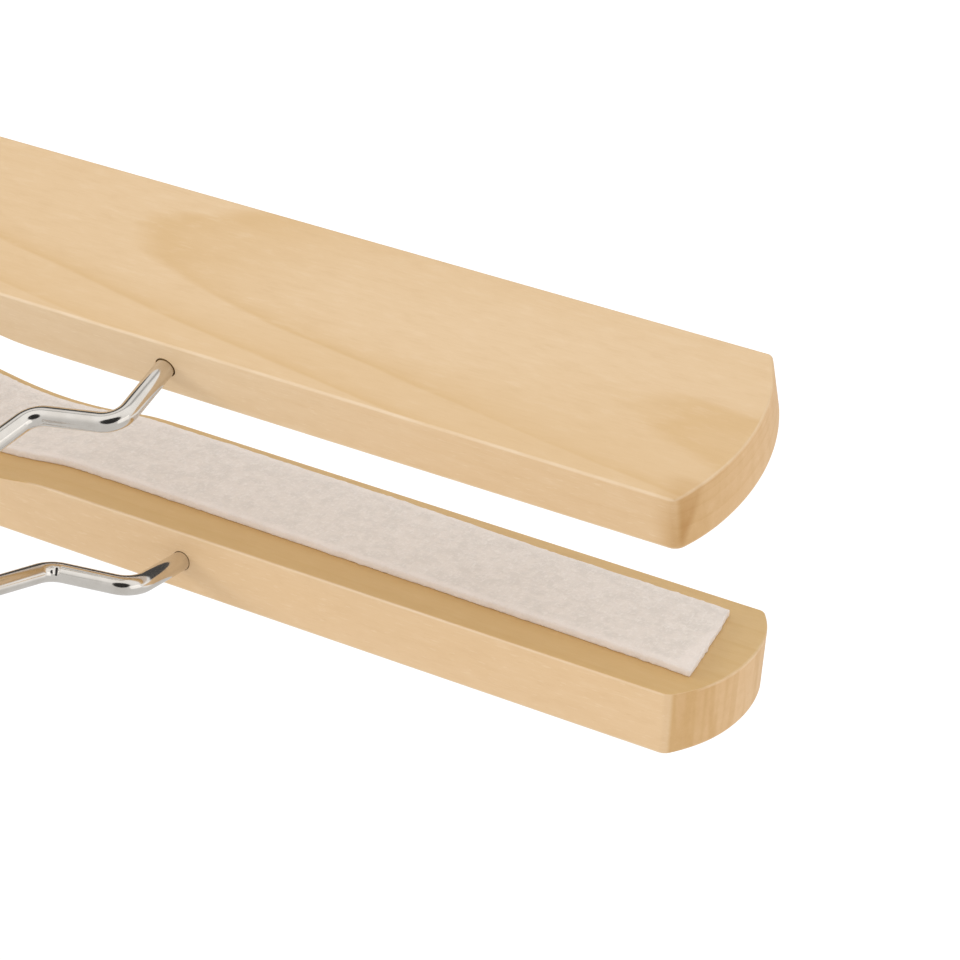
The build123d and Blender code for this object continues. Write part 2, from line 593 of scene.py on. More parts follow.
@dataclass(frozen=True)
class Birch:
    """Pale sanded birch: the rings of a log, fine fibre, thirstier end grain, a painted highlight
    along the arrises and painted shade on the inner face.

    The log's pith lies outside the bar's outer face. All sizes are in millimetres, and a grain is
    how many lumps there are to a millimetre along, through and across the bar.
    """

    name: str
    size: BarSize
    pith_depth: float = 60.0
    pith_height: float = -23.99
    lean: float = 0.0162
    bow: float = -4.33e-05
    tilt: float = 0.0837
    squint: float = 0.3
    ring_count: float = 2.34
    ring_from: float = 58.67
    ring_spread: float = 1.69
    ring_shade: float = 1.0
    ring_wander: float = 0.35
    warm_edge: float = 0.35
    end_bands: float = 0.15
    edge_from: float = 40.0
    edge_to: float = 110.0
    seed: float = 0.0
    brown_corner: bool = False
    fibre_grain: Triple = (0.2, 3.4, 3.4)
    pore_grain: Triple = (0.55, 5.0, 5.0)
    fleck_grain: Triple = (0.45, 2.4, 2.4)
    broad_grain: Triple = (0.012, 0.05, 0.05)
    cloud_grain: Triple = (0.16, 0.55, 0.55)
    band_grain: Triple = (0.04, 0.05, 0.55)
    lump_grain: Triple = (0.05, 0.25, 0.25)
    wander_grain: Triple = (0.025, 0.12, 0.12)
    patch_grain: Triple = (0.02, 0.06, 0.06)
    # how the painted highlight along the arrises breaks up
    rub_grain: Triple = (0.15, 0.5, 0.5)
    fibre_depth: float = 0.008
    lump_depth: float = 0.03
    face: Colour = srgb(228, 197, 156)
    ring: Colour = srgb(218, 182, 132)
    streak: Colour = srgb(206, 168, 118)
    # a pale wood tone for flecks and clouds, and the colour of the painted highlight along the
    # arrises
    arris: Colour = srgb(241, 217, 186)
    # painted shade on the inner face, where the other jaw keeps off the light and bounces back its
    # own warm light
    inner_tint: Colour = (0.92, 0.88, 0.69, 1.0)
    end_tint: Colour = (0.94, 0.86, 0.76, 1.0)
    edge_tint: Colour = (1.0, 0.955, 0.895, 1.0)
    heel_tint: Colour = (0.87, 0.81, 0.65, 1.0)
    brown_tint: Colour = (0.74, 0.60, 0.36, 1.0)

    def material(self, place: Matrix) -> bpy.types.Material:
        """Builds the material.

        Args:
            place: The jaw's own frame in the row frame.

        Returns:
            The material.
        """
        tree = ShaderTree.material(self.name)
        spot = tree.coordinates(place)
        at = x, _, z = tree.parts(spot)
        normal_x, normal_y, normal_z = tree.parts(tree.facing(place))
        on_end, on_edge = abs(normal_x).rise(0.55, 0.9), abs(normal_z).rise(0.6, 0.9)
        log_at = tree.shifted(spot, (self.seed,) * 3)
        late_wood = self.rings(tree, log_at, at) * (1 - on_edge * 0.75) * (1 - on_end * 0.5)

        # the fibre runs along the bar, and shows as short streaks and pores
        fibre = tree.grained(log_at, self.fibre_grain, 3.0, 0.6)
        pores = tree.grained(log_at, self.pore_grain, 1.0).rise(0.64, 0.8)
        flecks = tree.grained(log_at, self.fleck_grain).rise(0.58, 0.76)
        broad = tree.grained(log_at, self.broad_grain).rise(0.35, 0.7)
        clouds = tree.grained(log_at, self.cloud_grain, 3.0, 0.6)
        warm = z.rise(-15.0, -6.0) * (1 - on_edge) * (1 - on_end)
        colour = tree.layered(
            self.face,
            (late_wood * self.ring_shade, self.ring),
            (broad * 0.3, self.ring),
            ((fibre - 0.4).larger(0.0) * 0.3, self.streak),
            (pores * (on_edge * 0.2 + 0.06), self.streak),
            (flecks * (on_edge * 0.3 + 0.08), self.arris),
            (clouds.rise(0.48, 0.72) * 0.16, self.streak),
            (clouds.rise(0.48, 0.28) * 0.16, self.arris),
            (warm * self.warm_edge, self.ring),
            (on_edge * 0.12, self.arris),
        )

        # end grain drinks more of the lacquer, most of all towards the wired edge
        bands = tree.grained(log_at, self.band_grain, 1.0).rise(0.42, 0.62)
        heel = on_end * (z.rise(-17.0, -1.0) * 0.7 + bands * self.end_bands)
        for share, tint in (
            (on_edge * abs(x).rise(self.edge_from, self.edge_to), self.edge_tint),
            (on_end, self.end_tint),
            (heel, self.heel_tint),
            # painted shade: the inner face is tinted darker and browner, as in the other jaw's
            # shadow
            (normal_y.rise(-0.6, -0.9), self.inner_tint),
        ):
            colour = tree.tint(share, colour, tint)
        if self.brown_corner:
            colour = self.scorch(tree, colour, at)
        # a painted highlight: a thin paler line along the arrises of the wired edge and the curved
        # ends
        colour = tree.mix(self.rub(tree, log_at, at), colour, self.arris)

        grain = tree.bump(fibre, self.fibre_depth * MM)
        surface = tree.bump(tree.grained(log_at, self.lump_grain), self.lump_depth * MM, grain)
        roughness = 0.44 + fibre * 0.14 + on_end * 0.1
        return tree.finish({"Base Color": colour, "Roughness": roughness, "Normal": surface})

    def rings(self, tree: ShaderTree, log_at: Value, at: tuple[Value, ...]) -> Value:
        """The dark late wood, which fades in towards the outside of each ring and ends sharply.

        Args:
            tree: The material's tree.
            log_at: The coordinates that noise is read at.
            at: The place on the bar.

        Returns:
            How dark the wood is.
        """
        x, y, z = at
        wander = tree.grained(log_at, self.wander_grain) - 0.5
        pith = self.size.thickness / 2 / MM + self.pith_depth
        depth = pith - y - x * self.lean - x * x * self.bow
        side = z - self.pith_height - x * self.tilt
        side = side.larger(side * self.squint)
        radius = (depth * depth + side * side).root() + wander * self.ring_wander
        grown = ((radius - self.ring_from) / self.ring_spread + 1.0).larger(0.01)
        within = (grown.logarithm(math.e) * self.ring_count).fraction()
        patchy = tree.grained(log_at, self.patch_grain, 1.0).rise(0.25, 0.6) * 0.4 + 0.6
        return (within**4) * within.rise(1.0, 0.9) * patchy * 1.5

    def rub(self, tree: ShaderTree, log_at: Value, at: tuple[Value, ...]) -> Value:
        """The painted highlight: a thin paler line along the arrises of the wired edge, and at half
        strength along the curved ends.

        Args:
            tree: The material's tree.
            log_at: The coordinates that noise is read at.
            at: The place on the bar.

        Returns:
            How strong the painted highlight is.
        """
        x, y, z = at
        past = (abs(x) - self.size.end_centre / MM).larger(0.0)
        level = z + self.size.width / 2 / MM
        off_end = self.size.end_radius / MM - (past * past + level * level).root()
        off_face = self.size.thickness / 2 / MM - abs(y)
        patchy = tree.grained(log_at, self.rub_grain)
        wired = off_face.larger(abs(z)).rise(0.55, 0.2)
        curved = off_face.larger(off_end).rise(0.55, 0.2) * z.rise(-34.0, -20.0) * 0.5
        return wired.larger(curved) * (patchy * 0.9 + 0.1)

    def scorch(self, tree: ShaderTree, colour: Value, at: tuple[Value, ...]) -> Value:
        """The brown facet at one corner, where the sanding belt scorched it.

        Args:
            tree: The material's tree.
            colour: The wood's colour.
            at: The place on the bar.

        Returns:
            The browned colour.
        """
        x, y, z = at
        corner = (self.size.length / 2 - self.size.end_bulge) / MM
        facet = (z * -1.0 - (y + 5.5) * 0.42).rise(1.6, -0.2)
        near = (x - corner).rise(-5.0, 0.5)
        low = y.rise(6.5, -3.0) * 0.6 + 0.4
        return tree.tint(facet * near * low * 0.8, colour, self.brown_tint)


@dataclass(frozen=True)
class PressedFelt:
    """Off-white pressed wool felt: mottled and flecked with fibres, with a painted highlight along
    its rim.

    All sizes are in millimetres.
    """

    name: str
    length: float
    width: float
    curl_shift: Triple = (7.0, 3.0, 5.0)
    strand_grain: Triple = (2.4, 2.4, 0.7)
    stray_grain: Triple = (0.7, 2.4, 2.6)
    nap_depth: float = 0.2
    mottle_depth: float = 0.25
    body: Colour = srgb(227, 218, 210)
    grey: Colour = srgb(211, 203, 195)
    # the colour of the painted highlight along the rim
    rim: Colour = srgb(238, 228, 221)
    fleck: Colour = srgb(241, 234, 228)

    def material(self, place: Matrix) -> bpy.types.Material:
        """Builds the material.

        Args:
            place: The strip's own frame in the row frame.

        Returns:
            The material.
        """
        tree = ShaderTree.material(self.name)
        spot = tree.coordinates(place)
        x, _, z = tree.parts(spot)
        curl = tree.shifted(spot, self.curl_shift)
        mottle = tree.noise(spot, 0.42, 3.0, 0.6)
        clumps = tree.noise(curl, 1.5, 3.0, 0.6)
        strands = tree.grained(spot, self.strand_grain, 3.0, 0.65)
        strays = tree.grained(curl, self.stray_grain, 3.0, 0.65)
        from_rim = (self.length / 2 - abs(x)).smaller(self.width / 2 - abs(z))
        waver = tree.noise(spot, 0.9, 3.0, 0.7) * 1.1
        colour = tree.layered(
            self.body,
            (mottle.rise(0.4, 0.64) * 0.5, self.grey),
            (clumps.rise(0.5, 0.7) * 0.45, self.fleck),
            (strands.rise(0.54, 0.68) * 0.4, self.fleck),
            (strays.rise(0.58, 0.72) * 0.35, self.grey),
            # a painted highlight along the rim, where the cut side catches the light
            ((from_rim + waver - 0.55).rise(2.0, 0.4) * 0.6, self.rim),
        )
        nap = tree.bump(clumps * 0.6 + strands * 0.4, self.nap_depth * MM)
        return tree.finish(
            {"Base Color": colour, "Roughness": 0.95, "Sheen Weight": 0.2, "Sheen Roughness": 0.6,
             "Specular IOR Level": 0.2, "Normal": tree.bump(mottle, self.mottle_depth * MM, nap)}
        )


@dataclass(frozen=True)
class BrightPlate:
    """Bright nickel plate over drawn or rolled steel, with faint wipe marks and haze."""

    name: str
    metal: Colour = srgb(226, 221, 214)
    haze: Colour = srgb(206, 199, 190)
    polish: float = 0.07
    wear: float = 0.07
    grain: Triple = (0.9, 0.9, 0.15)
    wipe_depth: float = 0.004 * MM

    def material(self) -> bpy.types.Material:
        """Builds the material, on coordinates of the row frame.

        Returns:
            The material.
        """
        tree = ShaderTree.material(self.name)
        spot = tree.coordinates(Matrix.Identity(4))
        cloud = tree.noise(spot, 0.16, 3.0, 0.6)
        wipe = tree.grained(spot, self.grain, 3.0, 0.7, scale=2.2)
        specks = tree.noise(spot, 3.4, 2.0).rise(0.7, 0.8)
        colour = tree.mix(cloud.rise(0.4, 0.75) * 0.6, self.metal, self.haze)
        roughness = self.polish + cloud * self.wear * 0.6 + wipe * self.wear + specks * 0.12
        return tree.finish(
            {"Base Color": colour, "Metallic": 1.0, "Roughness": roughness,
             "Normal": tree.bump(wipe, self.wipe_depth)}
        )


# The hanger


@dataclass(frozen=True)
class Hinges:
    """Where the clamp's hinges are and how far it is open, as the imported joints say."""

    pivot_y: float
    pivot_z: float
    opening: float

    @classmethod
    def from_joints(cls, joints: Sequence[dict]) -> Hinges:
        """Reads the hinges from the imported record's joints."""
        hinge = next(joint for joint in joints if joint["name"] == "rear_clamp_hinge")
        return cls(*hinge["pos_m"][1:], math.radians(hinge["range_deg"][1]))


@dataclass(frozen=True)
class SandedCorner:
    """Where the sanding belt took more off one corner of a bar than off the others.

    What it took off the inner and the outer face, and how far along, are in millimetres.
    """

    way: int
    at_mouth: bool
    off_inner: float
    off_outer: float
    reach: float

    @property
    def inwards(self) -> Vector:
        """The direction in which the belt wore the corner: mostly along the bar."""
        return Vector((-0.94 * self.way, 0, 0.34 if self.at_mouth else -0.34))


@dataclass(frozen=True)
class ToolMark:
    """The small round mark of a bending tool in a wire, with a raised rim. It is in millimetres."""

    on_axis: Triple
    outwards: Triple
    wire_radius: float = 1.75
    radius: float = 0.85
    depth: float = 0.14
    rim_height: float = 0.06
    rim_at: float = 0.95
    rim_width: float = 0.28
    refined: float = 1.4

    def press(self, wire: bpy.types.Object) -> None:
        """Refines the wire's faces round the mark, and moves their points in or out.

        Args:
            wire: The bent wire.
        """
        way_out = zip(self.on_axis, self.outwards)
        at = Vector([axis + out * self.wire_radius for axis, out in way_out]) * MM
        with editing(wire):
            for _ in range(2):
                reach = self.refined * MM
                pick(Element.FACES, lambda f: (f.calc_center_median() - at).length < reach)
                bpy.ops.mesh.subdivide(number_cuts=1)
        for vertex in wire.data.vertices:
            off = (vertex.co - at).length / (self.radius * MM)
            rim = self.rim_height * math.exp(-(((off - self.rim_at) / self.rim_width) ** 2))
            height = -self.depth * max(0.0, 1 - off**2) ** 2 + rim
            vertex.co += vertex.normal * height * MM


class SubAssembly:
    """What all sub-assemblies share: a mesh is set in place, dressed and hung on its body."""

    def hand_over(
        self, piece: bpy.types.Object, place: Matrix, material: bpy.types.Material, body: str,
        node: str, slot: str,
    ) -> None:
        """Puts a piece in place of its CAD node.

        Args:
            piece: The finished mesh, in its own frame.
            place: That frame in the row frame.
            material: The piece's finish.
            body: The body that it moves with.
            node: The CAD node that it stands for.
            slot: The record's material slot; it is not used.
        """
        piece.matrix_world = place
        settle(piece)
        piece.data.materials.clear()
        piece.data.materials.append(material)
        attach(piece, body)
        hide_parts(node)
        spans = zip(*(vertex.co for vertex in piece.data.vertices))
        stray = max(
            max(abs(min(span) - low), abs(max(span) - high))
            for span, low, high in zip(spans, *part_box(node))
        )
        faces = len(piece.data.polygons)
        log.info("%s: %d faces, box within %.2f mm of %s", piece.name, faces, stray / MM, node)


@dataclass
class Clamp(SubAssembly):
    """One half of the clamp: a birch jaw, its felt strip and the wire frame that carries it.

    The rounds of the bar's four corners are in millimetres, and so are the heights of the felt's
    waver and lumps, whose first numbers say how many there are to a millimetre.
    """

    side: Side
    hinges: Hinges
    wood: Birch
    plate: bpy.types.Material
    size: BarSize
    corner_rounds: tuple[float, float, float, float]
    sanded: tuple[SandedCorner, ...]
    tool_mark: ToolMark | None = None

    outer_round: float = 0.45 * MM
    inner_round: float = 0.22 * MM
    corner_step: float = 8.0
    end_step: float = 1.5
    relief_length: float = 35.4 * MM
    relief_depth: float = 1.85 * MM
    relief_ease: float = 0.6 * MM
    bore_gap: float = 0.16 * MM
    bore_rim: float = 0.12 * MM
    bore_overshoot: float = 2 * MM

    felt_length: float = 285.0 * MM
    felt_width: float = 23.3 * MM
    felt_thickness: float = 1.4 * MM
    felt_margin: float = 9.6 * MM
    felt_skew: float = math.radians(0.6)
    felt_cut: float = math.radians(10.0)
    felt_drift: float = 0.8 * MM
    felt_drift_from: float = -105.0 * MM
    felt_drift_run: float = 30.0 * MM
    felt_round: float = 0.36 * MM
    felt_cells: tuple[int, int] = (380, 31)
    rim_waver: tuple[tuple[float, float], ...] = ((0.12, 0.25), (0.5, 0.2), (1.3, 0.26))
    nap_lumps: tuple[tuple[float, float], ...] = ((0.5, 0.05), (1.3, 0.05))
    closed_gap: float = 0.2 * MM

    wire_radius: float = 1.75 * MM
    wire_bend: float = 4.4 * MM
    wire_grip: float = 25.0 * MM
    wire_end_round: float = 0.4 * MM
    wire_spacing: float = 100.0 * MM
    stub_rise: float = 14.3 * MM
    shoulder_rise: float = 17.8 * MM
    shoulder_spacing: float = 70.2 * MM
    crossbar_length: float = 37.4 * MM
    pivot_to_jaw: float = 73.75 * MM

    @property
    def closed_lean(self) -> float:
        """How far the frame leans from the vertical when the clamp is shut."""
        wire_y = self.size.thickness / 2 + self.felt_thickness + self.closed_gap / 2
        return math.asin((wire_y - self.hinges.pivot_y) / self.pivot_to_jaw)

    @property
    def lean(self) -> float:
        """How far the frame leans from the vertical at rest."""
        return self.closed_lean + self.hinges.opening

    @property
    def frame_place(self) -> Matrix:
        """The wire frame's own plane in the row frame, at rest."""
        hinge = Matrix.Translation((0, self.hinges.pivot_y, self.hinges.pivot_z))
        return self.side.turn @ hinge @ Matrix.Rotation(self.lean, 4, "X")

    @property
    def jaw_place(self) -> Matrix:
        """The jaw's own frame in the row frame.

        Returns:
            The frame: its outer face is at +Y and its wired edge at z = 0.
        """
        y = self.hinges.pivot_y + self.pivot_to_jaw * math.sin(self.lean)
        z = self.hinges.pivot_z - self.pivot_to_jaw * math.cos(self.lean)
        opened = Matrix.Rotation(self.hinges.opening, 4, "X")
        return self.side.turn @ Matrix.Translation((0, y, z)) @ opened

    @property
    def felt_place(self) -> Matrix:
        """The felt strip's own frame: centred on its glued face, with its length along X."""
        centre = (0, -self.size.thickness / 2, -self.felt_margin - self.felt_width / 2)
        return self.jaw_place @ Matrix.Translation(centre) @ Matrix.Rotation(self.felt_skew, 4, "Y")

    @property
    def noise_shift(self) -> Vector:
        """How far off the noise is read, so that the two strips differ."""
        return Vector((0, 0, 40.0 if self.side is Side.REAR else 0.0))

    def dip(self, x: float) -> float:
        """How deep the shallow hollow across the inner face is: a round arc with eased ends.

        Args:
            x: The distance from the middle of the bar.

        Returns:
            How far the surface lies below the inner face.
        """
        half, depth = self.relief_length / 2, self.relief_depth
        radius = (half**2 + depth**2) / (2 * depth)
        arc = depth - x**2 / (2 * radius)
        return (arc + math.hypot(arc, self.relief_ease)) / 2

    def lumps(self, at: Vector, layers: Sequence[tuple[float, float]]) -> float:
        """Noise of several layers, each with its fineness and its height."""
        return sum(noise.noise(at * fine + self.noise_shift) * height for fine, height in layers)

    def build(self) -> None:
        """Builds and dresses the three pieces."""
        name, body = self.side.value, self.side.body
        jaw = self.bar()
        wood = self.wood.material(self.jaw_place)
        self.hand_over(jaw, self.jaw_place, wood, body, f"{name}_jaw", "pale_wood")
        wire = self.wire_frame()
        self.hand_over(wire, self.frame_place, self.plate, body, f"{name}_frame", "bright_wire")
        finish = PressedFelt(f"{name}_pressed_felt", self.felt_length / MM, self.felt_width / MM)
        strip = self.felt_strip()
        felt = finish.material(self.felt_place)
        self.hand_over(strip, self.felt_place, felt, body, f"{name}_felt", "white_felt")

    def bar(self) -> bpy.types.Object:
        """The wooden bar: its outline is filled, sliced, pulled to its thickness and hollowed.

        Returns:
            The jaw, in its own frame.
        """
        bar = self.outline()
        reach = round(1.5 * self.relief_length / 2 / MM)
        columns = [x * MM for x in range(-reach, reach + 1)]
        for x in columns:
            pick_all()
            bpy.ops.mesh.bisect(plane_co=(x, 0, 0), plane_no=(1, 0, 0))
        pick_all()
        push(Vector((0, self.size.thickness, 0)))
        for x in columns:
            pick(Element.POINTS, lambda v: v.co.y < 0 and abs(v.co.x - x) < 0.01 * MM)
            bpy.ops.transform.translate(value=(0, self.dip(x), 0))
        for corner in self.sanded:
            self.sand(bar, corner)
        for way, rim in ((-1, self.inner_round), (1, self.outer_round)):
            round_edges(lambda e: self.is_rim(e) and middle(e).y * way > 0, rim, segments=4)
        bpy.ops.object.mode_set(mode="OBJECT")
        for way in (-1, 1):
            self.bore(bar, way * self.wire_spacing / 2)
        close_up(bar, smooth_angle=24)
        apply_modifier(bar, "WEIGHTED_NORMAL", keep_sharp=True)
        return bar

    def outline(self) -> bpy.types.Object:
        """Draws the bar's outline on its inner face, with a round at each corner, and fills it.

        Returns:
            The flat face, in edit mode.
        """
        size, half = self.size, self.size.width / 2
        inner, turn = -size.thickness / 2, Vector((0, 1, 0))
        centre = Vector((0, inner, -half))
        piece = start_drawing(f"{self.side.value}_jaw_wood", [Vector((0, inner, 0))])
        corner_rounds = [corner * MM for corner in self.corner_rounds]
        at_x = 0.0
        for way, rounds in ((1, corner_rounds[:2]), (-1, corner_rounds[2:])):
            reaches = [math.sqrt((size.end_radius - r) ** 2 - (half - r) ** 2) for r in rounds]
            angles = [math.degrees(math.atan2(half - r, to)) for r, to in zip(rounds, reaches)]
            first, last = (way * (size.end_centre + reach) for reach in reaches)
            push(Vector((first - at_x, 0, 0)))
            for x, z, degrees, step in (
                (first, way * (half - rounds[0]), 90 - angles[0], self.corner_step),
                (way * size.end_centre, 0, sum(angles), self.end_step),
                (last, -way * (half - rounds[1]), 90 - angles[1], self.corner_step),
            ):
                swing(centre + Vector((x, 0, z)), turn, degrees, step)
            at_x = last
        push(Vector((-at_x, 0, 0)))
        merge_doubles()
        bpy.ops.mesh.edge_face_add()
        return piece

    def sand(self, bar: bpy.types.Object, sanded: SandedCorner) -> None:
        """Moves the outline in at one corner, by its own amount on each broad face.

        Args:
            bar: The bar, in edit mode.
            sanded: The corner.
        """
        edge = -self.size.width if sanded.at_mouth else 0.0
        corner = Vector((sanded.way * (self.size.length / 2 - self.size.end_bulge), edge))
        shape = bmesh.from_edit_mesh(bar.data)
        for vertex in shape.verts:
            share = max(0.0, 1 - (vertex.co.xz - corner).length / (sanded.reach * MM))
            off = (sanded.off_outer if vertex.co.y > 0 else sanded.off_inner) * MM
            vertex.co += sanded.inwards * off * share**2
        bmesh.update_edit_mesh(bar.data)

    @staticmethod
    def is_rim(edge: bmesh.types.BMEdge) -> bool:
        """Whether an edge lies between a broad face and a narrow side of the bar."""
        broad = [abs(f.normal.y) > 0.7 for f in edge.link_faces]
        return any(broad) and not all(broad)

    def bore(self, bar: bpy.types.Object, x: float) -> None:
        """Bores one hole for a wire end and eases its rim.

        Args:
            bar: The jaw.
            x: The hole's distance from the middle.
        """
        down = Matrix.Rotation(self.closed_lean, 3, "X") @ Vector((0, 0, -1))
        over, radius = self.bore_overshoot, self.wire_radius + self.bore_gap
        cutter = start_piece(
            "bore_cutter", bpy.ops.mesh.primitive_cylinder_add, vertices=48, radius=radius,
            depth=self.wire_grip + over, rotation=(self.closed_lean, 0, 0),
            location=Vector((x, 0, 0)) + down * (self.wire_grip - over) / 2,
        )
        cut_away(bar, cutter)
        mouth, reach = Vector((x, 0)), radius * 1.1
        with editing(bar):
            round_edges(
                lambda e: all(
                    abs(v.co.z) < 0.02 * MM and (v.co.xy - mouth).length < reach for v in e.verts
                ),
                self.bore_rim, segments=2,
            )

    def wire_frame(self) -> bpy.types.Object:
        """The wire frame in its own plane, with the hinge bar at z = 0 and the ends pointing down.

        Returns:
            The bent wire.
        """
        foot = -self.pivot_to_jaw
        half = [
            (self.wire_spacing / 2, foot - self.wire_grip),
            (self.wire_spacing / 2, foot + self.stub_rise),
            (self.shoulder_spacing / 2, foot + self.shoulder_rise),
            (self.crossbar_length / 2, 0.0),
        ]
        path = [Vector((x, 0, z)) for x, z in half] + [Vector((-x, 0, z)) for x, z in half[::-1]]
        bender = WireBender(f"{self.side.value}_frame_wire", self.wire_radius)
        bender.start(path[0], path[1] - path[0])
        bender.follow(path[1:], self.wire_bend)
        wire = bender.finish([path[0], path[-1]], self.wire_end_round)
        if self.tool_mark is not None:
            self.tool_mark.press(wire)
        return wire

    def felt_strip(self) -> bpy.types.Object:
        """The felt strip: cut a little askew at its ends, with a wavering rim and a lumpy nap.

        Returns:
            The strip, in its own frame.
        """
        cells_along, cells_across = self.felt_cells
        strip = start_piece(
            f"{self.side.value}_felt_strip", bpy.ops.mesh.primitive_grid_add, size=1.0,
            x_subdivisions=cells_along, y_subdivisions=cells_across, rotation=UPRIGHT,
        )
        strip.scale = (self.felt_length, 1.0, self.felt_width)
        settle(strip)
        self.cut_rim(strip)
        apply_modifier(strip, "SOLIDIFY", thickness=self.felt_thickness, offset=0.0)
        for vertex in strip.data.vertices:
            vertex.co.y -= self.felt_thickness / 2
        break_edges(strip, self.felt_round, 50)
        self.raise_nap(strip)
        close_up(strip, smooth_angle=70)
        return strip

    def cut_rim(self, strip: bpy.types.Object) -> None:
        """Slants the two ends, and makes the whole rim waver and the mouth side's cut drift.

        Args:
            strip: The flat strip.
        """
        half_length, half_width = self.felt_length / 2, self.felt_width / 2
        slant = math.tan(self.felt_cut)
        for vertex in strip.data.vertices:
            waver = self.lumps(vertex.co / MM, self.rim_waver)
            to_end = abs(vertex.co.x) / half_length
            to_side = abs(vertex.co.z) / half_width
            along_cut = held((vertex.co.x - self.felt_drift_from) / self.felt_drift_run)
            drift = self.felt_drift * (0.55 - along_cut) * max(0.0, -vertex.co.z / half_width) ** 2
            drift += self.felt_drift * max(0.0, vertex.co.z / half_width) ** 4 * to_end**24 / 2
            ahead = vertex.co.z * slant
            vertex.co.z += math.copysign(waver, vertex.co.z) * MM * to_side**8 + drift
            vertex.co.x += math.copysign(waver, vertex.co.x) * MM * to_end**30 - ahead * to_end**14

    def raise_nap(self, strip: bpy.types.Object) -> None:
        """Makes the felt's worked face lumpy and lays the strip in the jaw's hollow.

        Args:
            strip: The smooth strip.
        """
        lean = math.tan(self.felt_skew)
        for vertex in strip.data.vertices:
            worked = held(-vertex.co.y / self.felt_thickness)
            lump = self.lumps(vertex.co / MM, self.nap_lumps)
            vertex.co.y += self.dip(vertex.co.x + vertex.co.z * lean) - lump * MM * worked


@dataclass
class HingeYoke(SubAssembly):
    """The folded channel whose rolled lower edges are the knuckles of both hinges."""

    hinges: Hinges
    plate: bpy.types.Material
    wire_radius: float = 1.75 * MM
    sheet: float = 1.2 * MM
    length: float = 24.0 * MM
    rise: float = 8.5 * MM
    corner: float = 2.2 * MM
    clearance: float = 0.06 * MM
    wrap: float = 250.0
    bend_step: float = 6.0
    shank_radius: float = 2.0 * MM
    edge_break: float = 0.14 * MM

    def build(self) -> None:
        """Builds the yoke: its section is drawn and rolled, and then pulled to its length."""
        inner = self.wire_radius + self.clearance
        wall = self.hinges.pivot_y + inner + self.sheet
        start = math.radians(-self.wrap)
        out = Vector((0, math.cos(start), math.sin(start)))
        pivot = Vector((0, self.hinges.pivot_y, 0))
        side, axis = Vector((-self.length / 2, 0, 0)), Vector((1, 0, 0))
        straight = Vector((0, 0, self.rise - self.corner))
        shoulder = Vector((0, wall - self.corner, 0))
        section = [side + pivot + out * reach for reach in (inner, inner + self.sheet)]
        yoke = start_drawing("hinge_yoke_channel", section)
        swing(side + pivot, axis, self.wrap, self.bend_step)
        push(straight)
        swing(side + straight + shoulder, axis, 90.0, self.bend_step)
        push(shoulder * -2)
        swing(side + straight - shoulder, axis, 90.0, self.bend_step)
        push(-straight)
        swing(side - pivot, axis, self.wrap, self.bend_step)
        merge_doubles()
        push(Vector((self.length, 0, 0)))
        bpy.ops.object.mode_set(mode="OBJECT")
        break_edges(yoke, self.edge_break, 40)
        hole = start_piece(
            "shank_hole", bpy.ops.mesh.primitive_cylinder_add, vertices=64, depth=2 * self.sheet,
            radius=self.shank_radius + self.clearance, location=(0, 0, self.rise - self.sheet / 2),
        )
        cut_away(yoke, hole)
        close_up(yoke, smooth_angle=30)
        place = Matrix.Translation((0, 0, self.hinges.pivot_z))
        self.hand_over(yoke, place, self.plate, "yoke", "hinge_yoke", "bright_sheet")


@dataclass
class LockRing(SubAssembly):
    """The long wire loop round the four legs, at its upper place."""

    hinges: Hinges
    plate: bpy.types.Material
    wire_radius: float = 1.5 * MM
    drop: float = 15.0 * MM
    weld_share: float = 0.35
    bend_step: float = 5.0

    def build(self) -> None:
        """Bends the loop to its CAD node's size, with its ends butted on the rear long side."""
        _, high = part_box("lock_ring")
        bend = high.y - self.wire_radius
        end_x = high.x - self.wire_radius - bend
        weld_x = -self.weld_share * end_x
        axis = Vector((0, 0, 1))
        bender = WireBender("lock_ring_wire", self.wire_radius, step=self.bend_step)
        bender.start(Vector((weld_x, bend, 0)), Vector((-1, 0, 0)))
        bender.run(end_x + weld_x)
        bender.bend(Vector((-end_x, 0, 0)), axis, 180.0)
        bender.run(2 * end_x)
        bender.bend(Vector((end_x, 0, 0)), axis, 180.0)
        bender.run(end_x - weld_x)
        place = Matrix.Translation((0, 0, self.hinges.pivot_z - self.drop))
        self.hand_over(bender.finish(), place, self.plate, "lock_ring", "lock_ring", "bright_wire")


